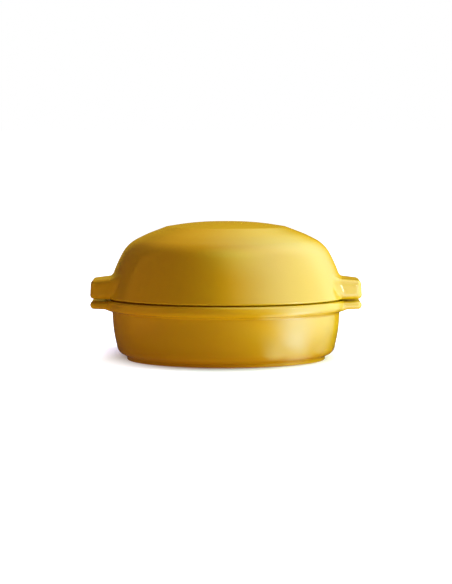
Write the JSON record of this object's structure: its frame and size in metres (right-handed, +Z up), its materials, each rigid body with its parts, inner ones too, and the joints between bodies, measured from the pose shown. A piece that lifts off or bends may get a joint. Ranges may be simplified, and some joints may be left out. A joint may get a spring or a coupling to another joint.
{
  "type": "cheese baker",
  "caption": "Round glazed stoneware cheese baker: a low dish with ear handles and a domed lid that lifts off the ledge in its rim.",
  "frame": {"origin": "on the table, under the centre of the dish's foot ring", "axes": "+X through the ear handles, +Y to the back, +Z up"},
  "size_m": [0.1932, 0.175, 0.0985],
  "materials": {
    "dish_glaze": "glossy ochre glaze over stoneware",
    "lid_glaze": "glossy ochre glaze over stoneware"
  },
  "bodies": {
    "dish": {"dish": "dish_glaze"},
    "lid": {"lid": "lid_glaze"}
  },
  "joints": [
    {"name": "lid_lift", "type": "slide", "parent": "dish", "child": "lid", "axis": [0, 0, 1], "range_m": [0, 0.12]}
  ]
}
